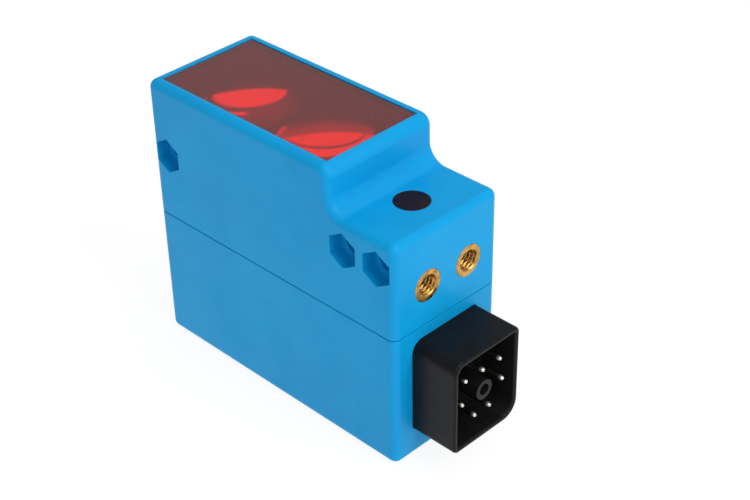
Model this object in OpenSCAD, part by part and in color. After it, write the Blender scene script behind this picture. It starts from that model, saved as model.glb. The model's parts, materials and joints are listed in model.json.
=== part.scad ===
// Compact photoelectric sensor with a two-lens optical head and a plug with six contacts and earth.
// It stands on its rear face. +Z points out of the window, +X points out of the plug.
// The origin is the centre of the rear face. All sizes are in millimetres.

/* [Housing] */
// Length of the housing, without the plug
body_l = 84; // [83:0.5:88]
// Width across the two mounting sides
body_w = 35; // [34.5:0.5:38]
// Height from the rear face to the rim round the window
body_h = 75; // [74:0.5:79]
// Height from the rear face to the step at the plug end
step_h = 63; // [62.5:0.5:64]
// Length of the step at the plug end
step_l = 20.4; // [19.9:0.1:21]
// Height of the seam between the two housing halves
seam_h = 37.2; // [36.8:0.1:37.6]
// Wall thickness
wall = 2.5; // [2.3:0.1:2.6]
// Radius of the long outer edges
edge_r = 2.2; // [1.8:0.1:2.4]
// Radius of the optical head's top edge towards the plug
head_end_r = 3.3; // [2.8:0.1:4]
// Radius of the cove between the optical head and the step
cove_r = 4.5; // [3:0.5:6]

/* [Mounting] */
// Diameter of the holes that cross the housing
cross_bore_d = 5.5; // [5:0.1:5.5]
// Width across flats of the nut pockets
nut_pocket_af = 8.2; // [8:0.1:8.4]
// Depth of each nut pocket
nut_pocket_depth = 4; // [4:0.1:5]
// Height of the crossing holes above the rear face
cross_bore_z = 55.2; // [55:0.1:55.5]
// Outer diameter of the two threaded inserts in the plug end
insert_d = 8.4; // [8:0.1:8.6]
// Bore of the threaded inserts
insert_bore_d = 5; // [4.8:0.1:5.2]
// Length of the threaded inserts
insert_l = 7.5; // [6:0.5:7.5]

/* [Window and lenses] */
// Width of the rim round the window
rim_w = 2.8; // [2.6:0.1:2.9]
// How far the window lies below the rim
window_recess = 0.3; // [0.2:0.1:0.8]
// Thickness of the window
window_t = 2.2; // [2:0.1:2.4]
// Diameter of the two lenses
lens_d = 25; // [24:0.5:25]
// Radius of the lens crown
lens_crown_r = 24; // [22:1:30]
// Diameter of the round status indicator
indicator_d = 8.9; // [8:0.1:9]

/* [Plug] */
// Width of the plug
plug_w = 22.4; // [21.5:0.1:22.6]
// Height of the plug
plug_h = 26.1; // [25.4:0.1:26.1]
// How far the plug stands out of the housing
plug_reach = 13.3; // [12.3:0.5:15.8]
// Wall thickness of the plug
plug_wall = 1.4; // [1.2:0.1:1.6]
// Diameter of the contact pins
pin_d = 1.3; // [1.2:0.1:1.6]

/* [Hidden] */
$fn = 64;

half_l = body_l / 2;
half_w = body_w / 2;
in_x = half_l - wall;
in_y = half_w - wall;
block_end = half_l - step_l;
nothing = 0.01;
through = 1;

seam_gap = 0.25;
seal_inset = 0.9;
seal_w = 1;
seal_h = 0.7;
floor_t = 3;

// Crossing holes: one at the closed end, two under the step
cross_bore_x = [5.6 - half_l, half_l - 16.3, half_l - 5.6];
tube_d = 8;
pocket_boss_d = 12;
pocket_boss_l = 6;

// Threaded inserts in the plug end
insert_z = 47.8;
insert_pitch = 13.7;
insert_centre_y = 0.5;
insert_ys = [insert_centre_y - insert_pitch / 2, insert_centre_y + insert_pitch / 2];
insert_hole_l = 8;

// Window and optical head
window_x0 = rim_w - half_l;
window_x1 = block_end - rim_w;
window_cx = (window_x0 + window_x1) / 2;
window_l = window_x1 - window_x0;
window_w = body_w - 2 * rim_w;
window_z = body_h - window_recess - window_t;
seal_t = 0.2;
seal_z = window_z - seal_t;
tray_gap = 0.2;
tray_wall = 1.2;
lens_pitch = 26;
sender_x = window_cx - lens_pitch / 2;
receiver_x = window_cx + lens_pitch / 2;
holder_z = 65;
holder_t = 1.5;
lens_seat = 0.8;
lens_flange_t = 1.2;
lens_z = holder_z + holder_t - lens_seat;
barrel_top_r = 11.6;
barrel_waist_r = 8.2;
barrel_waist_z = 60;
barrel_foot_r = 3.6;
barrel_t = 1.1;
web_t = 2;
shelf_z = 57.5;
ear_y = 11.2;
post_y = 6;

// Status indicator
indicator_x = half_l - 11;
indicator_t = 1.6;
indicator_stem_d = 4;

// Boards
board_t = 1.6;
main_z = 11;
optics_z = 39;
main_top = main_z + board_t;
optics_top = optics_z + board_t;
link_x = 15;
link_pins = 6;
link_pitch = 2.54;

// Housing screws stand in four pillars
pillar_x = [5.1 - half_l, 22];
pillar_y = 11.8;
front_pillar_d = 7;
rear_pillar_d = 8.8;
well_d = 6.4;
well_top = 28;
screw_d = 3;
screw_l = 16;
screw_insert_d = 4.2;
screw_insert_l = 6;

// Board posts and screws
post_x = [-28.5, 13.5];
post_ys = [-11.4, 11.4];
small_screw_d = 2;

// Adjusters in the rear face
sensitivity_x = -24;
mode_x = -10;
rotor_r = 3;
rotor_bore_r = 3.08;
rotor_window_r = 2.6;
rotor_lip_t = 0.85;
rotor_z = 0.95;
rotor_top = 5.6;
rotor_stem_r = 1.5;
stem_clearance = 0.05;
rotor_groove_r = 2.1;
rotor_ring_r = 0.48;
rotor_boss_top = 5;
trimmer_z = 6.2;

// Plug
plug_y = -0.33;
plug_z = 20.9;
plug_big_r = 4.9;
plug_near_r = 3.2;
plug_small_r = 1.6;
plug_end = half_l + plug_reach;
plug_floor_x = half_l + 3;
flange_over = 1.5;
flange_x = in_x - 2.1;
gasket_t = 0.6;
connector_board_x = 29.4;
plug_boss_x = plug_end - 0.9;
plug_boss_r = 2.7;
plug_boss_bore_r = 1.5;
bush_r = 2;
bush_bore_r = 1.25;
bush_x0 = plug_floor_x - 1;
bush_x1 = plug_end - 3.5;
pin_tip_x = plug_end - 1.1;
pin_tail_x = connector_board_x - 1;
pin_places = [[-6, 5.5], [6, 5.5], [7.05, -0.95], [2.6, -6.5], [-2.6, -6.5], [-7.05, -0.95]];
earth_place = [0, 5.5];

// Relay on the main board
relay_x = -15;
relay_y = -8.5;
relay_l = 20;
relay_w = 10;
relay_h = 15;
relay_base_t = 1.4;
relay_wall = 0.6;
coil_x = relay_x - 3.6;
coil_z = main_top + relay_base_t + 1.2;
coil_h = 7.2;
yoke_x = relay_x - relay_l / 2 + 1.8;
yoke_t = 1;
pole_top = coil_z + coil_h + 0.8;
armature_z = pole_top + 0.45;
armature_t = 0.8;

blue = [0.16, 0.53, 0.80];
black = [0.07, 0.07, 0.08];
brass = [0.80, 0.62, 0.25];
steel = [0.75, 0.75, 0.76];
pcb_green = [0.07, 0.34, 0.18];

// ---------- Shared shapes ----------

// A rectangle with round corners, as exact arcs
module rounded_rect(l, w, r) {
    square([l - 2 * r, w], center = true);
    square([l, w - 2 * r], center = true);
    for (sx = [-1, 1], sy = [-1, 1])
        translate([sx * (l / 2 - r), sy * (w / 2 - r)]) circle(r);
}

// A rectangle with its own radius at its upper left corner, at its lower right corner and on the rest
module keyed_rect(l, w, r_upper_left, r_lower_right, r_same) {
    difference() {
        square([l, w], center = true);
        for (sx = [-1, 1], sy = [-1, 1]) {
            r = sx == sy ? r_same : sy > 0 ? r_upper_left : r_lower_right;
            translate([sx * l / 2, sy * w / 2])
                square(2 * r, center = true);
        }
    }
    for (sx = [-1, 1], sy = [-1, 1]) {
        r = sx == sy ? r_same : sy > 0 ? r_upper_left : r_lower_right;
        translate([sx * (l / 2 - r), sy * (w / 2 - r)]) circle(r);
    }
}

// A box from one corner to the other
module block(low, high) {
    translate(low) cube(high - low);
}

// A cylinder along Y, centred on y = 0
module y_rod(x, z, d, l) {
    translate([x, 0, z]) rotate([90, 0, 0]) cylinder(d = d, h = l, center = true);
}

// A cylinder along +X from x0 to x1
module x_rod(x0, x1, y, z, d) {
    translate([x0, y, z]) rotate([0, 90, 0]) cylinder(d = d, h = x1 - x0);
}

// A slice of the plug's outline, grown by over, from x0 to x1
module plug_slice(x0, x1, over) {
    translate([x0, plug_y, plug_z])
        rotate([90, 0, 90])
            linear_extrude(x1 - x0)
                keyed_rect(plug_w + 2 * over, plug_h + 2 * over, max(plug_near_r + over, 0.4),
                    max(plug_big_r + over, 0.4), max(plug_small_r + over, 0.4));
}

// A part of the plug that narrows from over0 at x0 to over1 at x1
module plug_taper(x0, x1, over0, over1) {
    hull() {
        plug_slice(x0, x0 + nothing, over0);
        plug_slice(x1 - nothing, x1, over1);
    }
}

// A pan-head screw that points up, with its head's underside at z = 0
module screw(d, l, head_d, head_h) {
    difference() {
        union() {
            translate([0, 0, -head_h]) cylinder(d = head_d, h = head_h);
            cylinder(d = d, h = l);
        }
        for (turn = [0, 90]) rotate(turn)
            translate([0, 0, -head_h]) cube([head_d * 0.62, head_d * 0.16, head_h], center = true);
    }
}

// A collar with a plain bore, along +Z
module collar(outer_d, bore_d, l) {
    difference() {
        cylinder(d = outer_d, h = l);
        translate([0, 0, -through]) cylinder(d = bore_d, h = l + 2 * through);
    }
}

// Puts its children at the four housing screws
module at_pillars() {
    for (x = pillar_x, side = [-1, 1]) translate([x, side * pillar_y, 0]) children();
}

// Puts its children at the four main board screws
module at_board_posts() {
    for (x = post_x, y = post_ys) translate([x, y, 0]) children();
}

// ---------- Housing ----------

// Side view of the closed housing, with the cove at the foot of the optical head
module side_profile() {
    offset(r = -cove_r, $fn = 48) offset(delta = cove_r)
        polygon([
            [-half_l, 0], [half_l, 0], [half_l, step_h],
            [block_end, step_h], [block_end, body_h], [-half_l, body_h]
        ]);
}

// The side view drawn in by the edge radius, with the larger radius at the head's top edge
module inset_profile() {
    extra = head_end_r - edge_r;
    corner = [block_end - head_end_r, body_h - head_end_r];
    difference() {
        offset(delta = -edge_r) side_profile();
        translate(corner) square(extra + 1);
    }
    translate(corner) circle(extra, $fn = 32);
}

// Outside of the closed housing, with every edge round
module housing_form() {
    minkowski() {
        rotate([90, 0, 0]) linear_extrude(body_w - 2 * edge_r, center = true) inset_profile();
        sphere(edge_r / cos(180 / 32), $fn = 32);
    }
}

// The part of the closed housing between two heights
module housing_slice(low, high) {
    intersection() {
        housing_form();
        block([-body_l, -body_w, low], [body_l, body_w, high]);
    }
}

// Room inside the front half: the electronics bay, and the optical head above it
module front_room() {
    block([-in_x, -in_y, 0], [in_x, in_y, step_h - wall]);
    block([window_x0, -window_w / 2, step_h - wall - through], [window_x1, window_w / 2, body_h + through]);
}

// Shelves that carry the lens holder, two of them with a screw hole
module holder_shelves() {
    for (side = [-1, 1]) {
        translate([window_cx, side * ear_y, shelf_z]) cylinder(d = 5, h = holder_z - shelf_z);
        block([window_cx - 2.5, side > 0 ? ear_y : -half_w, shelf_z],
            [window_cx + 2.5, side > 0 ? half_w : -ear_y, holder_z]);
    }
    block([window_x0 - 1, -6, holder_z - 3], [window_x0 + 1.8, 6, holder_z]);
    block([window_x1 - 1.8, -6, holder_z - 3], [window_x1 + 1, 6, holder_z]);
}

// Everything inside the front half that holds or carries something
module front_bosses() {
    for (x = cross_bore_x) {
        y_rod(x, cross_bore_z, tube_d, body_w - 2);
        for (side = [-1, 1])
            translate([x, side * (half_w - 1), cross_bore_z])
                rotate([side * 90, 0, 0]) cylinder(d = pocket_boss_d, h = pocket_boss_l);
    }
    for (y = insert_ys) x_rod(in_x - 8, half_l - 1, y, insert_z, insert_d + 2.6);
    translate([indicator_x, 0, cross_bore_z - 6])
        cylinder(d = indicator_stem_d + 3, h = step_h - cross_bore_z + 5);
    at_pillars() translate([0, 0, seam_h + seam_gap / 2]) cylinder(d = front_pillar_d, h = 16);
    holder_shelves();
}

module front_housing() {
    color(blue) difference() {
        union() {
            difference() {
                housing_slice(seam_h + seam_gap / 2, body_h + through);
                front_room();
            }
            intersection() {
                front_bosses();
                block([1 - half_l, 1 - half_w, seam_h + seam_gap / 2],
                    [half_l - 1, half_w - 1, body_h - 1]);
            }
        }
        for (x = cross_bore_x) {
            y_rod(x, cross_bore_z, cross_bore_d, body_w + 2 * through);
            for (side = [-1, 1])
                translate([x, side * half_w, cross_bore_z])
                    rotate([90, 30, 0])
                        cylinder(d = nut_pocket_af / cos(30), h = 2 * nut_pocket_depth,
                            center = true, $fn = 6);
        }
        for (y = insert_ys)
            x_rod(half_l - insert_hole_l, half_l + through, y, insert_z, insert_d);
        translate([indicator_x, 0, step_h - indicator_t]) cylinder(d = indicator_d + 0.04, h = 10);
        translate([indicator_x, 0, seam_h]) cylinder(d = indicator_stem_d + 0.3, h = step_h - seam_h);
        at_pillars() translate([0, 0, seam_h - through]) cylinder(d = screw_insert_d, h = 10);
        for (side = [-1, 1])
            translate([window_cx, side * ear_y, holder_z - 6]) cylinder(d = small_screw_d, h = 6 + through);
    }
}

// Pillars, posts, rotor bosses, and the snap ribs behind the plug's flange
module rear_bosses() {
    at_pillars() cylinder(d = rear_pillar_d, h = seam_h - seam_gap / 2);
    at_board_posts() cylinder(d = 5, h = main_z);
    for (x = [sensitivity_x, mode_x]) translate([x, 0, 0]) cylinder(d = 10, h = rotor_boss_top);
    for (side = [-1, 1])
        block([flange_x - 1.8, side > 0 ? 11.5 : 1 - half_w, 1],
            [flange_x - 0.05, side > 0 ? half_w - 1 : -12.7, 34]);
}

// A turning bore for an adjuster, with the lip that keeps it in
module adjuster_bore() {
    translate([0, 0, rotor_lip_t]) cylinder(r = rotor_bore_r, h = rotor_boss_top);
    translate([0, 0, -through]) cylinder(r = rotor_window_r, h = rotor_lip_t + 2 * through);
}

// Shallow scale marks sunk into the rear face: a long arc, and two stops a quarter turn apart
module scale_marks() {
    translate([sensitivity_x, 0, -through])
        rotate([0, 0, 135 + 90]) rotate_extrude(angle = 270)
            translate([4.3, 0]) square([0.7, through + 0.35]);
    for (turn = [0, 90])
        translate([mode_x, 0, 0]) rotate(turn) block([4, -0.35, -through], [6, 0.35, 0.35]);
}

module rear_housing() {
    top = seam_h - seam_gap / 2;
    color(blue) difference() {
        union() {
            difference() {
                housing_slice(-through, top);
                block([-in_x, -in_y, floor_t], [in_x, in_y, seam_h + through]);
            }
            intersection() {
                rear_bosses();
                block([1 - half_l, 1 - half_w, 0.5], [half_l - 1, half_w - 1, top]);
            }
        }
        at_pillars() {
            translate([0, 0, -through]) cylinder(d = well_d, h = well_top + through);
            cylinder(d = screw_d + 0.4, h = seam_h + through);
        }
        at_board_posts() translate([0, 0, 5]) cylinder(d = small_screw_d, h = main_z);
        for (x = [sensitivity_x, mode_x]) translate([x, 0, 0]) adjuster_bore();
        plug_slice(in_x - through, half_l + through, 0.02);
        scale_marks();
        seal_ring(top - seal_h, seam_h + through);
    }
}

// Ring that runs round the seam
module seal_ring(low, high) {
    translate([0, 0, low]) linear_extrude(high - low) difference() {
        rounded_rect(body_l - 2 * seal_inset, body_w - 2 * seal_inset, 1.4);
        rounded_rect(body_l - 2 * (seal_inset + seal_w), body_w - 2 * (seal_inset + seal_w), 0.5);
    }
}

module housing_seal() {
    color([0.05, 0.16, 0.28]) seal_ring(seam_h - seam_gap / 2 - seal_h, seam_h + seam_gap / 2);
}

module housing_screws() {
    color(steel) at_pillars() translate([0, 0, well_top]) screw(screw_d, screw_l, 5.6, 2.6);
}

module screw_inserts() {
    color(brass) at_pillars()
        translate([0, 0, seam_h + 0.3]) collar(screw_insert_d, screw_d, screw_insert_l);
}

module thread_insert(y) {
    color(brass) translate([half_l - insert_l, y, insert_z])
        rotate([0, 90, 0]) collar(insert_d, insert_bore_d, insert_l);
}

// ---------- Window and optics ----------

module front_window() {
    fit = 0.1;
    color([0.35, 0.04, 0.05]) translate([window_cx, 0, window_z])
        linear_extrude(window_t) rounded_rect(window_l - 2 * fit, window_w - 2 * fit, 0.4);
}

module window_seal() {
    color([0.05, 0.05, 0.05]) translate([0, 0, seal_z]) linear_extrude(seal_t) tray_rim();
}

module indicator_lens() {
    color([0.2, 0.03, 0.06]) translate([indicator_x, 0, 0]) {
        translate([0, 0, step_h - indicator_t]) cylinder(d = indicator_d, h = indicator_t - 0.15);
        translate([0, 0, optics_top + 1.8]) cylinder(d = indicator_stem_d, h = step_h - optics_top - 3);
    }
}

// One lens: a flat flange with a spherical crown on top
module lens(x, tint) {
    crown_rim = lens_d / 2 - 0.5;
    centre_z = lens_flange_t - sqrt(pow(lens_crown_r, 2) - pow(crown_rim, 2));
    color(tint) translate([x, 0, lens_z]) {
        cylinder(d = lens_d, h = lens_flange_t);
        intersection() {
            translate([0, 0, centre_z]) sphere(lens_crown_r);
            translate([0, 0, lens_flange_t / 2]) cylinder(r = crown_rim, h = lens_crown_r);
        }
    }
}

// Outline of the tray's wall, which carries the window
module tray_rim() {
    translate([window_cx, 0]) difference() {
        square([window_l - 2 * tray_gap, window_w - 2 * tray_gap], center = true);
        square([window_l - 2 * (tray_gap + tray_wall), window_w - 2 * (tray_gap + tray_wall)],
            center = true);
    }
}

// A light barrel that narrows from the lens to the optics board, with its waist beside the crossing tube
module barrel(over) {
    rotate_extrude() polygon([
        [0, optics_top], [barrel_foot_r + over, optics_top], [barrel_waist_r + over, barrel_waist_z],
        [barrel_top_r + over, holder_z], [0, holder_z]
    ]);
}

// Tray with two lens seats and two light barrels, lowered in from above before the window is bonded
module lens_holder() {
    color(black) difference() {
        union() {
            translate([window_cx, 0, holder_z]) linear_extrude(holder_t)
                square([window_l - 2 * tray_gap, window_w - 2 * tray_gap], center = true);
            translate([0, 0, holder_z]) linear_extrude(seal_z - holder_z) tray_rim();
            for (x = [sender_x, receiver_x]) translate([x, 0, 0]) barrel(barrel_t);
            block([window_cx - web_t / 2, -9.5, optics_top], [window_cx + web_t / 2, 9.5, 56]);
            block([window_cx - web_t / 2, -8.3, 55], [window_cx + web_t / 2, 8.3, holder_z + 0.5]);
            for (side = [-1, 1]) translate([window_cx, side * post_y, optics_top]) cylinder(d = 5, h = 12);
        }
        for (x = [sender_x, receiver_x]) translate([x, 0, 0]) {
            translate([0, 0, lens_z]) cylinder(d = lens_d + 0.1, h = 20);
            translate([0, 0, holder_z - nothing]) cylinder(r = barrel_top_r, h = 5);
            barrel(0);
            translate([0, 0, optics_top - through]) cylinder(r = barrel_foot_r, h = through + nothing);
        }
        for (side = [-1, 1]) {
            translate([window_cx, side * ear_y, holder_z - through])
                cylinder(d = small_screw_d + 0.3, h = 5);
            translate([window_cx, side * post_y, optics_top - through])
                cylinder(d = small_screw_d, h = 8 + through);
        }
    }
}

module holder_screws() {
    color(steel) for (side = [-1, 1])
        translate([window_cx, side * ear_y, holder_z + holder_t])
            mirror([0, 0, 1]) screw(small_screw_d, 7, 3.6, 1.4);
}

module optics_screws() {
    color(steel) for (side = [-1, 1])
        translate([window_cx, side * post_y, optics_z]) screw(small_screw_d, 8, 3.6, 1.4);
}

module optics_board() {
    color(pcb_green) difference() {
        union() {
            block([-31, -13.2, optics_z], [17.5, 13.2, optics_top]);
            block([17, -7, optics_z], [34.5, 7, optics_top]);
        }
        for (side = [-1, 1])
            translate([window_cx, side * post_y, 0]) cylinder(d = small_screw_d + 0.3, h = body_h);
        link_holes();
    }
}

module sender_led() {
    color([0.85, 0.1, 0.1]) translate([sender_x, 0, optics_top]) {
        cylinder(r = 2.9, h = 1);
        cylinder(r = 2.5, h = 3.6);
        translate([0, 0, 3.6]) intersection() {
            sphere(2.5);
            cylinder(r = 3, h = 3);
        }
    }
}

module receiver_diode() {
    color([0.12, 0.1, 0.14]) translate([receiver_x, 0, optics_top]) {
        block([-2.2, -2, 0], [2.2, 2, 1.1]);
        translate([0, 0, 1.1]) cylinder(r = 1.2, h = 0.5);
    }
}

// Metal can that shields the receiver diode, with a hole for the light
module receiver_shield() {
    color(steel) translate([receiver_x, 0, optics_top]) difference() {
        cylinder(r = barrel_foot_r - 0.2, h = 2.2);
        translate([0, 0, -through]) cylinder(r = 3.1, h = 1.9 + through);
        cylinder(r = 1.5, h = 5);
    }
}

module signal_chip() {
    color(black) translate([22, 0, optics_top]) block([-3, -3, 0], [3, 3, 1.1]);
}

module status_led() {
    color([0.9, 0.5, 0.1]) translate([indicator_x, 0, optics_top]) block([-1.6, -0.9, 0], [1.6, 0.9, 1.3]);
}

// ---------- Electronics ----------

function link_y(i) = (i - (link_pins - 1) / 2) * link_pitch;

module link_holes() {
    for (i = [0:link_pins - 1]) translate([link_x, link_y(i), 0]) cylinder(d = 1, h = body_h);
}

// Row of pins that joins the main board to the optics board
module board_link() {
    body_half = link_pins * link_pitch / 2;
    color(black) for (low = [main_top, optics_z - 2.5])
        block([link_x - 1.25, -body_half, low], [link_x + 1.25, body_half, low + 2.5]);
    color(brass) for (i = [0:link_pins - 1])
        translate([link_x, link_y(i), main_z - 1.2]) cylinder(d = 0.7, h = optics_top - main_z + 2.4);
}

module main_board() {
    color(pcb_green) difference() {
        union() {
            block([-31, -13.8, main_z], [16.8, 13.8, main_top]);
            block([16, -6.8, main_z], [29.2, 6.8, main_top]);
        }
        at_board_posts() cylinder(d = small_screw_d + 0.3, h = body_h);
        link_holes();
    }
}

module board_screws() {
    color(steel) at_board_posts()
        translate([0, 0, main_top]) mirror([0, 0, 1]) screw(small_screw_d, 6, 3.8, 1.5);
}

module controller_chip() {
    color(black) translate([11.8, 7.2, main_top]) block([-1.8, -1.8, 0], [1.8, 1.8, 0.9]);
}

module can_capacitor(x, y, d, h) {
    color([0.1, 0.12, 0.3]) translate([x, y, main_top]) difference() {
        cylinder(d = d, h = h);
        translate([0, 0, h - 0.3])
            for (turn = [0, 90]) rotate(turn) block([-d / 3, -0.2, 0], [d / 3, 0.2, 1]);
    }
}

module varistor() {
    color([0.1, 0.25, 0.6]) translate([5, 9.6, main_top + 5.5]) {
        rotate([90, 0, 0]) cylinder(d = 9, h = 3.6, center = true);
        for (side = [-1, 1]) translate([side * 2.5, 0, -5.5]) cylinder(d = 0.8, h = 4);
    }
}

// Two half cores round the winding
module transformer_core() {
    color([0.22, 0.22, 0.24]) translate([5, -1.5, main_top + 0.6]) difference() {
        block([-7, -3, 0], [7, 3, 13]);
        for (side = [-1, 1]) block([side > 0 ? 2.2 : -5, -4, 2.2], [side > 0 ? 5 : -2.2, 4, 10.8]);
    }
}

module transformer_coil() {
    color([0.75, 0.6, 0.2]) translate([5, -1.5, main_top + 0.6]) difference() {
        translate([0, 0, 2.4]) linear_extrude(8.2) rounded_rect(9.6, 11, 2);
        block([-2.3, -3.1, 0], [2.3, 3.1, 13]);
        for (side = [-1, 1]) block([side > 0 ? 4.9 : -8, -3.1, 0], [side > 0 ? 8 : -4.9, 3.1, 13]);
    }
}

// ---------- Relay ----------

module relay_base() {
    color(black) translate([relay_x, relay_y, main_top])
        linear_extrude(relay_base_t) square([relay_l, relay_w], center = true);
}

module relay_case() {
    low = main_top + relay_base_t;
    color([0.15, 0.35, 0.65]) translate([relay_x, relay_y, low]) difference() {
        linear_extrude(relay_h - relay_base_t) square([relay_l, relay_w], center = true);
        translate([0, 0, -through]) linear_extrude(relay_h - relay_base_t - relay_wall + through)
            square([relay_l - 2 * relay_wall, relay_w - 2 * relay_wall], center = true);
    }
}

module relay_coil() {
    color([0.72, 0.38, 0.18]) translate([coil_x, relay_y, coil_z]) {
        collar(7, 3, coil_h);
    }
}

module relay_core() {
    color(steel) translate([coil_x, relay_y, coil_z]) {
        cylinder(d = 3, h = coil_h + 0.4);
        translate([0, 0, coil_h]) cylinder(d = 5, h = pole_top - coil_z - coil_h);
    }
}

// L-shaped iron yoke: a foot under the coil and a leg beside it
module relay_yoke() {
    color(steel) {
        block([yoke_x - yoke_t, relay_y - 3, coil_z - yoke_t], [coil_x + 3, relay_y + 3, coil_z]);
        block([yoke_x - yoke_t, relay_y - 3, coil_z - yoke_t], [yoke_x, relay_y + 3, armature_z - 0.1]);
    }
}

// Fixed contacts: one below the armature's free end, and one that it rests against above
module relay_contacts() {
    end_x = relay_x + relay_l / 2 - 3;
    foot_z = main_top + relay_base_t;
    low_z = armature_z - 1.4;
    high_z = armature_z + 1.03;
    color(brass) {
        block([end_x + 1, relay_y - 1.5, foot_z], [end_x + 1.4, relay_y + 1.5, low_z]);
        block([end_x - 1, relay_y - 1.5, low_z - 0.3], [end_x + 1.4, relay_y + 1.5, low_z]);
        translate([end_x, relay_y, low_z]) cylinder(d = 1.6, h = 0.4);
        block([end_x + 1.8, relay_y - 1.5, foot_z], [end_x + 2.2, relay_y + 1.5, high_z + 0.3]);
        block([end_x - 1, relay_y - 1.5, high_z], [end_x + 2.2, relay_y + 1.5, high_z + 0.3]);
    }
}

module relay_armature() {
    end_x = relay_x + relay_l / 2 - 3;
    color(steel) {
        block([yoke_x - yoke_t, relay_y - 3, armature_z],
            [coil_x + 3, relay_y + 3, armature_z + armature_t]);
        block([coil_x + 2, relay_y - 1.2, armature_z + 0.1], [end_x + 1, relay_y + 1.2, armature_z + 0.5]);
        translate([end_x, relay_y, armature_z - 0.2]) cylinder(d = 1.6, h = 1.2);
    }
}

// ---------- Adjusters ----------

// Slotted rotor that turns in the rear face. The slot's wider end points the way it is set.
module rotor() {
    slot_l = 4.4;
    pointer_l = 1.45;
    difference() {
        union() {
            translate([0, 0, rotor_z]) cylinder(r = rotor_r, h = rotor_top - rotor_z);
            rotor_stem();
        }
        translate([0, 0, rotor_z]) cube([slot_l, 0.9, 2.2], center = true);
        translate([(slot_l - pointer_l) / 2, 0, rotor_z]) cube([pointer_l, 1.6, 1], center = true);
        rotate_extrude() translate([rotor_groove_r, 3.6 - rotor_ring_r]) square([2, 2 * rotor_ring_r]);
    }
}

module rotor_stem() {
    translate([0, 0, rotor_top - 1]) cylinder(r = rotor_stem_r, h = 3.4);
}

module rotor_seal() {
    rotate_extrude() translate([rotor_groove_r + rotor_ring_r + 0.01, 3.6]) circle(rotor_ring_r - 0.01);
}

// Trimmer body on the underside of the main board, with the bore that holds the rotor's stem
module trimmer(size) {
    difference() {
        translate([0, 0, trimmer_z]) linear_extrude(main_z - trimmer_z) square(size, center = true);
        translate([0, 0, trimmer_z - through])
            cylinder(r = rotor_stem_r + stem_clearance, h = through + 2.2);
    }
}

// ---------- Plug ----------

// The shell's rim is rounded in two steps, both outside and inside
module plug_shell() {
    round_x0 = plug_end - 0.7;
    round_x1 = plug_end - 0.21;
    inset_1 = 0.196;
    inset_2 = 0.49;
    color(black) difference() {
        union() {
            plug_slice(flange_x, round_x0, 0);
            plug_taper(round_x0 - nothing, round_x1, 0, -inset_1);
            plug_taper(round_x1, plug_end, -inset_1, -inset_2);
            plug_slice(flange_x, in_x - gasket_t, flange_over);
        }
        plug_slice(flange_x - through, round_x0, -plug_wall);
        plug_taper(round_x0 - nothing, round_x1, -plug_wall, inset_1 - plug_wall);
        plug_taper(round_x1 - nothing, plug_end + nothing, inset_1 - plug_wall, inset_2 - plug_wall);
    }
}

module plug_gasket() {
    color([0.1, 0.1, 0.1]) difference() {
        plug_slice(in_x - gasket_t, in_x, flange_over);
        plug_slice(in_x - through, in_x + through, 0);
    }
}

// Insulator that fills the plug behind its floor, with a boss for the cable socket's screw
module pin_carrier() {
    color(black) difference() {
        union() {
            plug_slice(connector_board_x + board_t, plug_floor_x, -plug_wall);
            x_rod(plug_floor_x - 1, plug_boss_x, plug_y, plug_z, 2 * plug_boss_r);
        }
        x_rod(bush_x1 - nothing, plug_end + through, plug_y, plug_z, 2 * plug_boss_bore_r);
        x_rod(bush_x0, bush_x1, plug_y, plug_z, 2 * bush_r);
        for (place = concat(pin_places, [earth_place]))
            x_rod(0, plug_end, plug_y + place[0], plug_z + place[1], pin_d);
    }
}

module plug_bush() {
    color(brass) translate([bush_x0, plug_y, plug_z]) rotate([0, 90, 0])
        collar(2 * bush_r, 2 * bush_bore_r, bush_x1 - bush_x0);
}

// One contact pin with a blunt point, from its tail on the connector board to its tip
module contact_pin(place) {
    point = 0.9;
    color(steel) translate([0, plug_y + place[0], plug_z + place[1]]) rotate([0, 90, 0]) {
        translate([0, 0, pin_tail_x]) cylinder(d = pin_d, h = pin_tip_x - point - pin_tail_x);
        translate([0, 0, pin_tip_x - point - nothing])
            cylinder(d1 = pin_d, d2 = pin_d * 0.4, h = point + nothing);
    }
}

module connector_board() {
    color(pcb_green) difference() {
        block([connector_board_x, plug_y - 11, 5.5], [connector_board_x + board_t, plug_y + 11, 35]);
        for (place = concat(pin_places, [earth_place]))
            x_rod(0, plug_end, plug_y + place[0], plug_z + place[1], pin_d);
    }
}

// Low header that joins the connector board to the main board's tongue, under the lower pins' tails
module bridge_header() {
    header_l = 2.8;
    header_w = 12.6;
    header_h = 1;
    color(black) block([connector_board_x - header_l, -header_w / 2, main_top],
        [connector_board_x, header_w / 2, main_top + header_h]);
}

front_housing();
rear_housing();
housing_seal();
front_window();
window_seal();
indicator_lens();
thread_insert(insert_ys[0]);  // thread_insert_near
thread_insert(insert_ys[1]);  // thread_insert_far
screw_inserts();
housing_screws();
lens_holder();
lens(sender_x, [0.8, 0.3, 0.3]);  // sender_lens
lens(receiver_x, [0.8, 0.3, 0.3]);  // receiver_lens
holder_screws();
optics_board();
optics_screws();
sender_led();
receiver_diode();
receiver_shield();
signal_chip();
status_led();
board_link();
main_board();
board_screws();
controller_chip();
can_capacitor(-18, 5.5, 12.5, 20);  // bulk_capacitor
can_capacitor(-5.5, 8, 8, 12);  // output_capacitor
varistor();
transformer_core();
transformer_coil();
relay_base();
relay_case();
relay_coil();
relay_core();
relay_yoke();
relay_contacts();
relay_armature();
color([0.1, 0.25, 0.55]) translate([sensitivity_x, 0, 0]) trimmer(9.5);  // sensitivity_potentiometer
color([0.9, 0.9, 0.88]) translate([sensitivity_x, 0, 0]) rotor();  // sensitivity_adjuster
color(black) translate([sensitivity_x, 0, 0]) rotor_seal();  // sensitivity_seal
color(black) translate([mode_x, 0, 0]) trimmer(8.6);  // mode_switch
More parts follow.
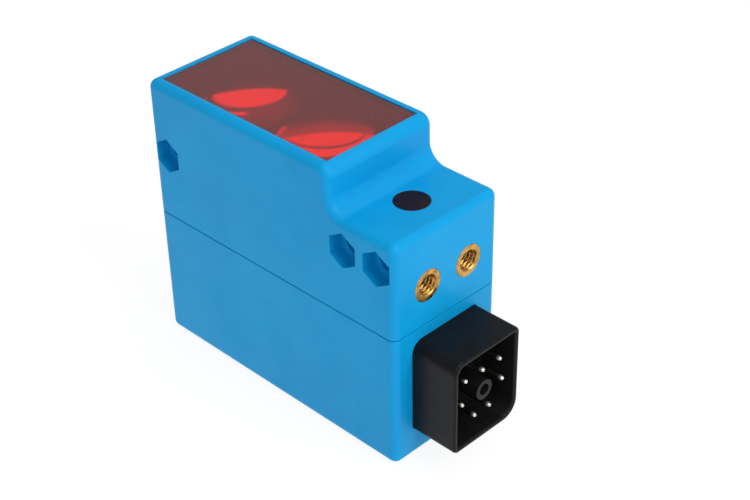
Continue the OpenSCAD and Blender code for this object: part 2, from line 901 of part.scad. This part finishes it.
color([0.9, 0.9, 0.88]) translate([mode_x, 0, 0]) rotor();  // mode_selector
color(black) translate([mode_x, 0, 0]) rotor_seal();  // mode_seal
plug_shell();
plug_gasket();
pin_carrier();
plug_bush();
connector_board();
bridge_header();
contact_pin(pin_places[0]);  // contact_pin_1
contact_pin(pin_places[1]);  // contact_pin_2
contact_pin(pin_places[2]);  // contact_pin_3
contact_pin(pin_places[3]);  // contact_pin_4
contact_pin(pin_places[4]);  // contact_pin_5
contact_pin(pin_places[5]);  // contact_pin_6
contact_pin(earth_place);  // earth_pin
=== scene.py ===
"""Looks for the photoelectric sensor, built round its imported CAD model. Metres, in the CAD frame."""

import json
import math

import bmesh
import bpy
from mathutils import Matrix, Vector


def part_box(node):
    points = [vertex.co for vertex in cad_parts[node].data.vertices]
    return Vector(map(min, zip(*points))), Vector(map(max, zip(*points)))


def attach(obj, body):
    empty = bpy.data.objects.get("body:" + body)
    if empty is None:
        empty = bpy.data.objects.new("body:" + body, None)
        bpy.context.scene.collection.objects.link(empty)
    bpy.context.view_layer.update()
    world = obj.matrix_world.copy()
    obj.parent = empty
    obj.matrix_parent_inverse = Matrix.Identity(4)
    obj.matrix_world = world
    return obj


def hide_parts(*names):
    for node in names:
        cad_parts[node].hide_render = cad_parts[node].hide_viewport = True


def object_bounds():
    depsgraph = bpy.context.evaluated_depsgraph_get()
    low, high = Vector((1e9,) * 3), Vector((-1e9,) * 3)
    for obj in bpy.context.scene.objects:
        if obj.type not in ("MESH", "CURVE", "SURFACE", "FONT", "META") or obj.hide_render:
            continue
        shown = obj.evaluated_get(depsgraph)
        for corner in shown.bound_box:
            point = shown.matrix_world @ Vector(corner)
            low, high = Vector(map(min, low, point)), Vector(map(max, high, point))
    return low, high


MM = 0.001
# The lights face this point inside the sensor, and the camera looks at it.
AIM = Vector((0.0, 0.0, 30 * MM))
GRAIN_DEPTH = 0.02 * MM
# Noses of the contact pins: how long the rounding is, and how far back from the tip the pin keeps its own
# bright colour before the painted shade on the shank begins.
PIN_NOSE = 0.85 * MM
PIN_UNSHADED_LENGTH = 0.95 * MM
# The painted glow on a lens starts this far above the lens's underside, just over its flange.
GLOW_FROM = 1.25 * MM

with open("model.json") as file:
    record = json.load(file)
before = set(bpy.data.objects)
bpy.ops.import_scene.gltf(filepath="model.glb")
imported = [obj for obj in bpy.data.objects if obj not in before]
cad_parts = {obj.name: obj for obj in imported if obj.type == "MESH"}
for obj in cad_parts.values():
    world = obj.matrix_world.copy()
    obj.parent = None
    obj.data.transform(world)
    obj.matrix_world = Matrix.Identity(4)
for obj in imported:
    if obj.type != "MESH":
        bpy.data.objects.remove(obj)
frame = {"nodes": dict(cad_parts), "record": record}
NODES = frame["nodes"]
CAD_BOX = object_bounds()
SENSOR = "sensor"
SCENE = bpy.context.scene


# ---------- Places that come from the frame ----------

def middle(node):
    low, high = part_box(node)
    return (low + high) / 2


def size(node):
    low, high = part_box(node)
    return high - low


# ---------- Node materials ----------

class Shader:
    """A new material with a Principled shader, and short calls that add nodes to it."""

    def __init__(self, name, color, roughness=0.5, metallic=0.0, **constants):
        self.material = bpy.data.materials.new(name)
        self.material.use_nodes = True
        self.tree = self.material.node_tree
        self.surface = self.tree.nodes["Principled BSDF"]
        self.place = self.add("ShaderNodeTexCoord").outputs["Object"]
        self.set("Base Color", (*color, 1.0))
        self.set("Roughness", roughness)
        self.set("Metallic", metallic)
        for key, value in constants.items():
            self.set(key.replace("_", " "), value)

    def add(self, kind, **settings):
        node = self.tree.nodes.new(kind)
        for key, value in settings.items():
            setattr(node, key, value)
        return node

    def set(self, socket, value):
        self.surface.inputs[socket].default_value = value

    def link(self, source, target):
        if isinstance(target, str):
            target = self.surface.inputs[target]
        self.tree.links.new(source, target)

    def noise(self, scale, detail=3.0, roughness=0.6, stretch=None):
        node = self.add("ShaderNodeTexNoise")
        node.inputs["Scale"].default_value = scale
        node.inputs["Detail"].default_value = detail
        node.inputs["Roughness"].default_value = roughness
        self.link(self.stretched(stretch), node.inputs["Vector"])
        return node.outputs["Fac"]

    def cells(self, scale, feature="F1", stretch=None):
        node = self.add("ShaderNodeTexVoronoi", feature=feature)
        node.inputs["Scale"].default_value = scale
        self.link(self.stretched(stretch), node.inputs["Vector"])
        return node.outputs["Distance"]

    def stretched(self, stretch):
        if stretch is None:
            return self.place
        node = self.add("ShaderNodeMapping")
        node.inputs["Scale"].default_value = stretch
        self.link(self.place, node.inputs["Vector"])
        return node.outputs["Vector"]

    def band(self, value, low, high, out_low=0.0, out_high=1.0):
        """Maps value from low..high to out_low..out_high, and holds it there outside."""
        node = self.add("ShaderNodeMapRange", interpolation_type="SMOOTHSTEP")
        limits = {"From Min": low, "From Max": high, "To Min": out_low, "To Max": out_high}
        for socket, number in limits.items():
            node.inputs[socket].default_value = number
        self.link(value, node.inputs["Value"])
        return node.outputs["Result"]

    def math(self, operation, a, b=0.0):
        node = self.add("ShaderNodeMath", operation=operation)
        for socket, value in zip(node.inputs, (a, b)):
            if isinstance(value, (int, float)):
                socket.default_value = value
            else:
                self.link(value, socket)
        return node.outputs[0]

    def mix(self, factor, a, b):
        """A colour between a and b. Each is a colour, or the output of another node."""
        node = self.add("ShaderNodeMix", data_type="RGBA")
        for index, value in ((0, factor), (6, a), (7, b)):
            if isinstance(value, bpy.types.NodeSocket):
                self.link(value, node.inputs[index])
            else:
                node.inputs[index].default_value = value if index == 0 else (*value, 1.0)
        return node.outputs[2]

    def bump(self, height, distance, strength=1.0, after=None):
        node = self.add("ShaderNodeBump")
        node.inputs["Strength"].default_value = strength
        node.inputs["Distance"].default_value = distance
        self.link(height, node.inputs["Height"])
        if after is not None:
            self.link(after, node.inputs["Normal"])
        return node.outputs["Normal"]


def moulded(name, color, dark, roughness, dust=0.0, clear=0.60, specular=0.5):
    """Satin moulded plastic: fine spark-eroded grain, faint colour drift and rubbed patches. dust is how
    strongly its specks of dust show. The higher clear is, the more of the surface has none."""
    s = Shader(name, color, roughness, IOR=1.5, Specular_IOR_Level=specular)
    drift = s.band(s.noise(38.0, 4.0), 0.35, 0.68)
    base = s.mix(drift, color, dark)
    if dust:
        specks = s.band(s.cells(420.0), 0.06, 0.03)
        chosen = s.band(s.noise(160.0, 2.0), clear, clear + 0.06, 0.0, dust)
        base = s.mix(s.math("MULTIPLY", specks, chosen), base, (0.62, 0.70, 0.74))
    s.link(base, "Base Color")
    rub = s.band(s.noise(90.0, 5.0), 0.40, 0.65, roughness - 0.06, roughness + 0.07)
    s.link(rub, "Roughness")
    fine = s.bump(s.noise(2600.0, 2.0), GRAIN_DEPTH)
    s.link(s.bump(s.noise(300.0, 2.0), GRAIN_DEPTH * 1.6, 0.5, after=fine), "Normal")
    return s.material


def turned(name, color, dull, roughness):
    """Metal turned about X: fine tool rings and tarnish in patches."""
    s = Shader(name, color, roughness, metallic=1.0)
    tarnish = s.band(s.noise(520.0, 5.0, 0.7), 0.42, 0.66)
    s.link(s.mix(tarnish, color, dull), "Base Color")
    s.link(s.band(s.noise(700.0, 4.0), 0.35, 0.7, roughness - 0.06, roughness + 0.16), "Roughness")
    s.link(s.bump(s.noise(900.0, 3.0, stretch=(1.0, 6.0, 6.0)), 0.01 * MM, 0.6), "Normal")
    return s.material


def plated(name, color, roughness):
    """Plated steel or silver: small roughness drift and a very fine grain."""
    s = Shader(name, color, roughness, metallic=1.0)
    dull = tuple(c * 0.78 for c in color)
    s.link(s.mix(s.band(s.noise(260.0, 4.0), 0.4, 0.7), color, dull), "Base Color")
    s.link(s.band(s.noise(420.0, 3.0), 0.3, 0.7, roughness - 0.05, roughness + 0.10), "Roughness")
    s.link(s.bump(s.noise(1500.0, 2.0), 0.005 * MM), "Normal")
    return s.material


def pin_with_painted_shade(name, tip_x):
    """Plated contact pin with a stained bright nose, and painted shade on the shank behind tip_x that makes
    it dark.
    """
    s = Shader(name, (0.9, 0.9, 0.88), 0.3, metallic=1.0)
    apart = s.add("ShaderNodeSeparateXYZ")
    s.link(s.place, apart.inputs["Vector"])
    nose = s.band(apart.outputs["X"], tip_x - 0.3 * MM, tip_x)
    stained = s.mix(s.band(s.noise(900.0, 4.0), 0.40, 0.62), (0.96, 0.95, 0.92), (0.62, 0.60, 0.55))
    # Behind the nose the colour is painted shade, much darker than the metal's own colour, for the shade of
    # the plug's cavity.
    s.link(s.mix(nose, (0.16, 0.145, 0.12), stained), "Base Color")
    s.link(s.band(s.noise(420.0, 3.0), 0.3, 0.7, 0.24, 0.42), "Roughness")
    return s.material


def rubber(name, color):
    """Dull rubber with a fine grain."""
    s = Shader(name, color, 0.75, IOR=1.45)
    s.link(s.mix(s.noise(300.0), color, tuple(c * 0.6 for c in color)), "Base Color")
    s.link(s.bump(s.noise(1800.0), 0.02 * MM), "Normal")
    return s.material


def tinted_window():
    """Dark red tinted acrylic, with a faint haze in it, fine dust and hairline scratches."""
    s = Shader("window_red", (0.47, 0.010, 0.013), 0.06, IOR=1.49)
    s.set("Transmission Weight", 0.80)
    specks = s.band(s.cells(520.0), 0.075, 0.03)
    chosen = s.band(s.noise(210.0, 2.0), 0.53, 0.62, 0.0, 0.6)
    threads = s.band(s.cells(150.0, "DISTANCE_TO_EDGE", stretch=(1.0, 3.0, 1.0)), 0.010, 0.002)
    seldom = s.band(s.noise(95.0, 2.0), 0.68, 0.74, 0.0, 0.5)
    dust = s.math("MAXIMUM", s.math("MULTIPLY", specks, chosen), s.math("MULTIPLY", threads, seldom))
    s.link(s.mix(dust, (0.47, 0.010, 0.013), (0.60, 0.50, 0.48)), "Base Color")
    s.link(s.band(dust, 0.0, 1.0, 0.06, 0.75), "Roughness")
    s.link(s.band(dust, 0.0, 1.0, 0.80, 0.35), "Transmission Weight")
    s.set("Coat Weight", 0.65)
    s.set("Coat Roughness", 0.04)
    return s.material


def painted_lens_glow(name, centre, flange, lit, strength):
    """Red lens whose glow is painted on its crown as emission: a sharp shape that stands for the lamp's
    light gathered by the lens, with a dull painted haze beside it.

    lit holds that shape in millimetres, along the direction that faces the light and across it, from the
    lens's middle: the disc and the curved edge that bound it, the ring beyond a dark gap, how far that ring
    reaches across, a small spot by the rim, and how far and how strongly the haze spreads. Every edge of it
    fades over a millimetre or so. There is no glow below the height flange."""
    s = Shader(name, (0.45, 0.010, 0.012), 0.06, IOR=1.5)
    s.set("Transmission Weight", 0.25)
    local = s.add("ShaderNodeMapping", vector_type="TEXTURE")
    local.inputs["Location"].default_value = (centre.x, centre.y, 0.0)
    facing = math.radians(-45.0)
    local.inputs["Rotation"].default_value = (0.0, 0.0, facing)
    local.inputs["Scale"].default_value = (MM, MM, MM)
    s.link(s.place, local.inputs["Vector"])
    apart = s.add("ShaderNodeSeparateXYZ")
    s.link(local.outputs["Vector"], apart.inputs["Vector"])
    along, across = apart.outputs["X"], apart.outputs["Y"]

    def reach(middle_along, middle_across):
        u = s.math("SUBTRACT", along, middle_along)
        v = s.math("SUBTRACT", across, middle_across)
        return s.math("SQRT", s.math("ADD", s.math("MULTIPLY", u, u), s.math("MULTIPLY", v, v)))

    from_edge = reach(*lit["edge"][:2])
    radius = lit["edge"][2]
    beyond = s.band(from_edge, radius - 1.0, radius + 0.8)
    disc = s.band(reach(*lit["disc"][:2]), lit["disc"][2] + 0.5, lit["disc"][2] - 0.6)
    ring_along, ring_across, inner, outer = lit["ring"]
    from_ring = reach(ring_along, ring_across)
    ring = s.math("MULTIPLY", s.band(from_ring, inner - 0.2, inner + 0.2),
                  s.band(from_ring, outer + 0.2, outer - 0.2))
    ring = s.math("MULTIPLY", ring, s.band(across, lit["ring_to"], lit["ring_to"] - 2.5))
    shape = s.math("MULTIPLY", s.math("MAXIMUM", disc, ring), beyond)
    if "spot" in lit:
        spot = s.band(reach(*lit["spot"][:2]), lit["spot"][2] + 0.6, lit["spot"][2] - 1.2, 0.0, 0.6)
        shape = s.math("MAXIMUM", shape, spot)
    mottle = s.math("MULTIPLY", shape, s.band(s.noise(330.0, 2.0), 0.2, 0.8, 0.88, 1.05))
    spread, share = lit["haze"]
    rise = s.math("POWER", s.band(from_edge, radius - spread, radius), 1.6)
    haze = s.math("MULTIPLY", rise, s.band(beyond, 0.0, 1.0, share, share * 0.3))
    crown = s.add("ShaderNodeSeparateXYZ")
    s.link(s.place, crown.inputs["Vector"])
    above = s.band(crown.outputs["Z"], flange, flange + 0.05 * MM)
    # The glow is painted: emission in the shape above, with no lamp inside the lens.
    s.set("Emission Color", (1.0, 0.030, 0.040, 1.0))
    light = s.math("MULTIPLY", s.math("MAXIMUM", mottle, haze), above)
    s.link(s.math("MULTIPLY", light, strength), "Emission Strength")
    return s.material


def solder_mask():
    """Green circuit board, with tracks that show and stand up faintly under the mask."""
    s = Shader("board_green", (0.012, 0.11, 0.05), 0.35, IOR=1.5)
    tracks = s.band(s.cells(700.0, "DISTANCE_TO_EDGE"), 0.06, 0.10)
    s.link(s.mix(tracks, (0.02, 0.17, 0.075), (0.010, 0.085, 0.04)), "Base Color")
    s.link(s.bump(tracks, 0.03 * MM, 0.5), "Normal")
    return s.material


def glossy(name, color, roughness=0.2, specular=0.5):
    """Glossy moulded or dipped part with soft waviness."""
    s = Shader(name, color, roughness, IOR=1.5, Specular_IOR_Level=specular)
    s.link(s.mix(s.noise(120.0), color, tuple(c * 0.75 for c in color)), "Base Color")
    s.link(s.band(s.noise(350.0), 0.3, 0.7, roughness * 0.7, roughness * 1.5), "Roughness")
    s.link(s.bump(s.noise(240.0), 0.02 * MM, 0.4), "Normal")
    return s.material


def winding():
    """Enamelled copper wire, laid turn on turn along Z."""
    s = Shader("copper_winding", (0.62, 0.22, 0.07), 0.28, metallic=1.0)
    wave = s.add("ShaderNodeTexWave", bands_direction="Z")
    wave.inputs["Scale"].default_value = 1150.0
    wave.inputs["Distortion"].default_value = 0.6
    s.link(s.place, wave.inputs["Vector"])
    # The colour is painted lighter on each turn's crown and darker in the groove between turns, as painted
    # highlight and painted shade, from the same bands that bump the surface.
    s.link(s.mix(wave.outputs["Fac"], (0.35, 0.10, 0.03), (0.72, 0.30, 0.10)), "Base Color")
    s.link(s.bump(wave.outputs["Fac"], 0.08 * MM), "Normal")
    return s.material


BLUE = (0.002, 0.325, 0.680)
BLUE_DARK = (0.002, 0.298, 0.640)
MATERIALS = {
    "blue_housing": moulded("blue_housing", BLUE, BLUE_DARK, 0.40, dust=0.30, specular=0.13),
    "housing_seal": rubber("housing_seal", (0.004, 0.035, 0.09)),
    "window_red": tinted_window(),
    "black_rubber": rubber("black_rubber", (0.02, 0.02, 0.02)),
    "indicator_lens": glossy("indicator_lens", (0.016, 0.006, 0.011), 0.22, 0.12),
    "insert_brass": turned("insert_brass", (0.66, 0.37, 0.10), (0.36, 0.18, 0.05), 0.30),
    "screw_steel": plated("screw_steel", (0.60, 0.60, 0.58), 0.30),
    "black_plastic": moulded("black_plastic", (0.006, 0.006, 0.007), (0.009, 0.009, 0.010), 0.34,
                             dust=0.12, clear=0.46, specular=0.13),
    "lens_red": glossy("lens_red", (0.6, 0.03, 0.03), 0.05),
    "board_green": solder_mask(),
    "led_red": glossy("led_red", (0.62, 0.02, 0.02), 0.10),
    "diode_dark": glossy("diode_dark", (0.012, 0.008, 0.014), 0.12),
    "shield_tin": plated("shield_tin", (0.68, 0.68, 0.66), 0.26),
    "chip_black": moulded("chip_black", (0.012, 0.012, 0.012), (0.02, 0.02, 0.02), 0.5),
    "led_amber": glossy("led_amber", (0.75, 0.30, 0.03), 0.10),
    "pin_gold": plated("pin_gold", (0.80, 0.58, 0.24), 0.22),
    "can_aluminium": glossy("can_aluminium", (0.03, 0.035, 0.12), 0.28),
    "varistor_blue": glossy("varistor_blue", (0.02, 0.07, 0.30), 0.30),
    "ferrite": moulded("ferrite", (0.03, 0.03, 0.032), (0.05, 0.05, 0.052), 0.55),
    "copper_winding": winding(),
    "relay_blue": glossy("relay_blue", (0.02, 0.09, 0.36), 0.30),
    "iron": plated("iron", (0.52, 0.52, 0.53), 0.32),
    "trimmer_blue": glossy("trimmer_blue", (0.02, 0.08, 0.34), 0.30),
    "adjuster_white": moulded("adjuster_white", (0.72, 0.72, 0.68), (0.64, 0.64, 0.60), 0.42),
    "contact_silver": plated("contact_silver", (0.92, 0.91, 0.88), 0.22),
}


# ---------- CAD nodes that stay ----------

def wear_finish(node, material):
    """Gives a CAD node one material in place of its plain one."""
    slots = NODES[node].data.materials
    slots.clear()
    slots.append(material)


def soften(piece, width):
    """Breaks the sharp edges of a CAD node with modifiers, so its vertices stay as packed."""
    mesh = piece.data
    for name in ("custom_normal", "sharp_edge"):
        found = mesh.attributes.get(name)
        if found is not None:
            mesh.attributes.remove(found)
    mesh.shade_smooth()
    weld = piece.modifiers.new("weld", "WELD")
    weld.merge_threshold = 0.004 * MM
    flat = piece.modifiers.new("flat", "DECIMATE")
    flat.decimate_type = "DISSOLVE"
    flat.angle_limit = math.radians(0.3)
    bevel = piece.modifiers.new("bevel", "BEVEL")
    bevel.width = width
    bevel.segments = 2
    bevel.limit_method = "ANGLE"
    bevel.angle_limit = math.radians(38.0)
    bevel.use_clamp_overlap = False
    bevel.harden_normals = False
    bevel.face_strength_mode = "FSTR_ALL"
    normals = piece.modifiers.new("normals", "WEIGHTED_NORMAL")
    normals.weight = 60
    normals.use_face_influence = True


for row in frame["record"]["subparts"]:
    wear_finish(row["node"], MATERIALS[row["material_slot"]])

# Width of the broken edges, in millimetres.
EDGE_WIDTHS = {
    "front_housing": 0.12, "rear_housing": 0.12, "plug_shell": 0.10, "pin_carrier": 0.08,
    "front_window": 0.06, "indicator_lens": 0.05, "housing_screws": 0.05,
    "sensitivity_adjuster": 0.02, "mode_selector": 0.02,
}
for name, width in EDGE_WIDTHS.items():
    soften(NODES[name], width * MM)


# ---------- Lenses, with their painted glow ---

# The painted glow on each lens. Disc, edge and spot: offset along the facing direction, offset across it,
# and radius.
# Ring: the same, with its inner and outer radius. Haze: how far it spreads, and its share of the full glow.
PAINTED_LENS_GLOW = {
    "sender_lens": {
        "disc": (-2.7, -0.6, 9.3),
        "edge": (-22.6, -1.9, 21.8),
        "ring": (-2.7, -0.6, 10.8, 11.6),
        "ring_to": 0.6,
        "haze": (4.0, 0.05),
    },
    "receiver_lens": {
        "disc": (-3.1, -0.1, 10.45),
        "edge": (-27.8, -1.8, 30.4),
        "ring": (-2.0, 0.05, 10.05, 12.1),
        "ring_to": 16.0,
        "haze": (9.0, 0.30),
        "spot": (-3.5, -13.5, 4.5),
    },
}
# Strength of the painted glow on the lenses.
GLOW_STRENGTH = 2.75
for name, lit in PAINTED_LENS_GLOW.items():
    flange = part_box(name)[0].z + GLOW_FROM
    wear_finish(name, painted_lens_glow("painted_glow_" + name, middle(name), flange, lit, GLOW_STRENGTH))


# ---------- Turned and threaded pieces ----------

def about_x(name, rings, centre, turn, material, closed):
    """A surface of rings round an axis along X, with turn points in each ring. A ring is a function from an
    angle to (x, radius). A closed surface joins its last ring to its first, and an open one is capped."""
    mesh = bpy.data.meshes.new(name)
    build = bmesh.new()
    grid = []
    for ring in rings:
        row = []
        for k in range(turn):
            angle = 2 * math.pi * k / turn
            x, radius = ring(angle)
            y = centre.y + radius * math.cos(angle)
            z = centre.z + radius * math.sin(angle)
            row.append(build.verts.new((x, y, z)))
        grid.append(row)
    if closed:
        grid.append(grid[0])
    for a, b in zip(grid, grid[1:]):
        for k in range(turn):
            n = (k + 1) % turn
            build.faces.new((a[k], a[n], b[n], b[k]))
    if not closed:
        build.faces.new(reversed(grid[0]))
        build.faces.new(grid[-1])
    bmesh.ops.recalc_face_normals(build, faces=build.faces)
    build.to_mesh(mesh)
    build.free()
    mesh.shade_smooth()
    mesh.set_sharp_from_angle(angle=math.radians(32))
    piece = bpy.data.objects.new(name, mesh)
    SCENE.collection.objects.link(piece)
    mesh.materials.append(material)
    return piece


def stand_for(piece, node, body=SENSOR):
    """The new piece takes a CAD node's place on its body, and the node is hidden."""
    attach(piece, body)
    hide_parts(node)


def still(x, radius):
    """A round ring, with the same x and radius at every angle."""
    return lambda angle: (x, radius)


def threaded_sleeve(node, outer, minor, major, pitch, mouth, material):
    """Brass sleeve with a cut thread in its bore and a chamfer at its mouth. The radii and the pitch are in
    millimetres. The bore's radius goes from minor to major, and the mouth's chamfer is 45 degrees."""
    low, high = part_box(node)
    x0, x1 = low.x, high.x
    tail = 0.25
    rim = 0.14 * MM
    step = 0.09 * MM

    def bored(x):
        def ring(angle):
            # The groove has a flat root and straight flanks, and leaves a flat crest. turn is the share of
            # one turn of the thread.
            turn = (x / (pitch * MM) - angle / (2 * math.pi)) % 1.0
            wave = min(1.0, max(0.0, 1.6 * (1.0 - abs(2.0 * turn - 1.0)) - 0.25))
            cut = minor + (major - minor) * wave
            cone = mouth - (x1 - x) / MM
            return x, max(cut, cone) * MM
        return ring

    count = int(round((x1 - x0) / step))
    rings = [still(x0, (outer - tail) * MM), still(x0 + tail * MM, outer * MM)]
    rings += [still(x1 - rim, outer * MM), still(x1 - rim * 0.3, outer * MM - rim * 0.3)]
    rings += [still(x1, outer * MM - rim), still(x1, mouth * MM)]
    rings += [bored(x1 + (x0 - x1) * (k + 0.5) / count) for k in range(count)]
    stand_for(about_x("turned_" + node, rings, middle(node), 96, material, closed=True), node)


def bullet_pin(node, material):
    """Contact pin with a rounded nose, a fine shoulder behind it and a chamfered tail."""
    low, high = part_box(node)
    radius = size(node).y / 2
    shoulder = high.x - PIN_NOSE
    rings = [still(low.x, radius * 0.7), still(low.x + 0.25 * MM, radius)]
    rings += [still(shoulder - 0.12 * MM, radius), still(shoulder, radius * 0.97)]
    for k in range(1, 9):
        a = math.radians(90 * k / 9)
        rings.append(still(shoulder + PIN_NOSE * math.sin(a), radius * (0.22 + 0.75 * math.cos(a))))
    rings.append(still(high.x, radius * 0.18))
    stand_for(about_x("turned_" + node, rings, middle(node), 32, material, closed=False), node)


for name in ("thread_insert_near", "thread_insert_far"):
    threaded_sleeve(name, outer=size(name).y / 2 / MM, minor=2.5, major=2.98, pitch=1.0, mouth=2.85,
                    material=MATERIALS["insert_brass"])
threaded_sleeve("plug_bush", outer=2.0, minor=1.25, major=1.5, pitch=0.5, mouth=1.5,
                material=MATERIALS["insert_brass"])
# The pins wear a material with painted shade on their shanks, behind the bright nose.
pin_painted_shade_material = pin_with_painted_shade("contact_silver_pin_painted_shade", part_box("earth_pin")[1].x - PIN_UNSHADED_LENGTH)
for name in ["contact_pin_%d" % k for k in range(1, 7)] + ["earth_pin"]:
    bullet_pin(name, pin_painted_shade_material)


# ---------- Floor, lights and camera ----------

def lit_floor():
    """Plain pale floor under the sensor's rear face."""
    half = 3.0
    corners = [(-half, -half, 0.0), (half, -half, 0.0), (half, half, 0.0), (-half, half, 0.0)]
    mesh = bpy.data.meshes.new("floor")
    mesh.from_pydata(corners, [], [(0, 1, 2, 3)])
    floor = bpy.data.objects.new("floor", mesh)
    SCENE.collection.objects.link(floor)
    floor.location.z = CAD_BOX[0][2] - 0.02 * MM
    s = Shader("floor_pale", (0.16, 0.16, 0.16), 0.9)
    s.set("Specular IOR Level", 0.0)
    s.set("Emission Color", (1.0, 1.0, 1.0, 1.0))
    s.set("Emission Strength", 0.88)
    mesh.materials.append(s.material)


def soft_box(name, azimuth, elevation, distance, width, watts):
    """Square area light that faces the sensor. Angles are in degrees, distance and width in metres."""
    light = bpy.data.lights.new(name, "AREA")
    light.shape = "SQUARE"
    light.size = width
    light.energy = watts
    lamp = bpy.data.objects.new(name, light)
    SCENE.collection.objects.link(lamp)
    a = math.radians(azimuth)
    e = math.radians(elevation)
    away = Vector((math.cos(e) * math.cos(a), math.cos(e) * math.sin(a), math.sin(e)))
    lamp.location = AIM + away * distance
    lamp.rotation_euler = away.to_track_quat("Z", "Y").to_euler()


def studio():
    """White surroundings and three soft boxes."""
    world = bpy.data.worlds.new("studio")
    world.use_nodes = True
    background = world.node_tree.nodes["Background"]
    background.inputs["Color"].default_value = (1.0, 1.0, 1.0, 1.0)
    background.inputs["Strength"].default_value = 0.42
    SCENE.world = world
    soft_box("key", azimuth=4.0, elevation=38.0, distance=1.3, width=0.8, watts=8.6)
    soft_box("top", azimuth=60.0, elevation=78.0, distance=1.2, width=0.9, watts=4.0)
    soft_box("front", azimuth=-52.0, elevation=34.0, distance=1.3, width=0.6, watts=2.4)
    SCENE.view_settings.view_transform = "Standard"


def aim_camera():
    """Looks down at the plug's corner from the photograph's side, a little rolled."""
    azimuth = math.radians(47.416)
    elevation = math.radians(34.543)
    roll = math.radians(-2.457)
    distance = 402.8 * MM
    flat = math.cos(elevation)
    ahead = Vector((-math.sin(azimuth) * flat, math.cos(azimuth) * flat, -math.sin(elevation)))
    level = ahead.cross(Vector((0.0, 0.0, 1.0))).normalized()
    raised = level.cross(ahead)
    right = level * math.cos(roll) + raised * math.sin(roll)
    up = raised * math.cos(roll) - level * math.sin(roll)
    data = bpy.data.cameras.new("camera")
    data.lens = 76.94
    data.sensor_width = 36.0
    data.shift_x = 0.070
    data.shift_y = 0.0221
    data.clip_start = 0.01
    camera = bpy.data.objects.new("camera", data)
    SCENE.collection.objects.link(camera)
    turn = Matrix((right, up, -ahead)).transposed().to_4x4()
    camera.matrix_world = Matrix.Translation(AIM - ahead * distance) @ turn
    SCENE.camera = camera


lit_floor()
studio()
aim_camera()
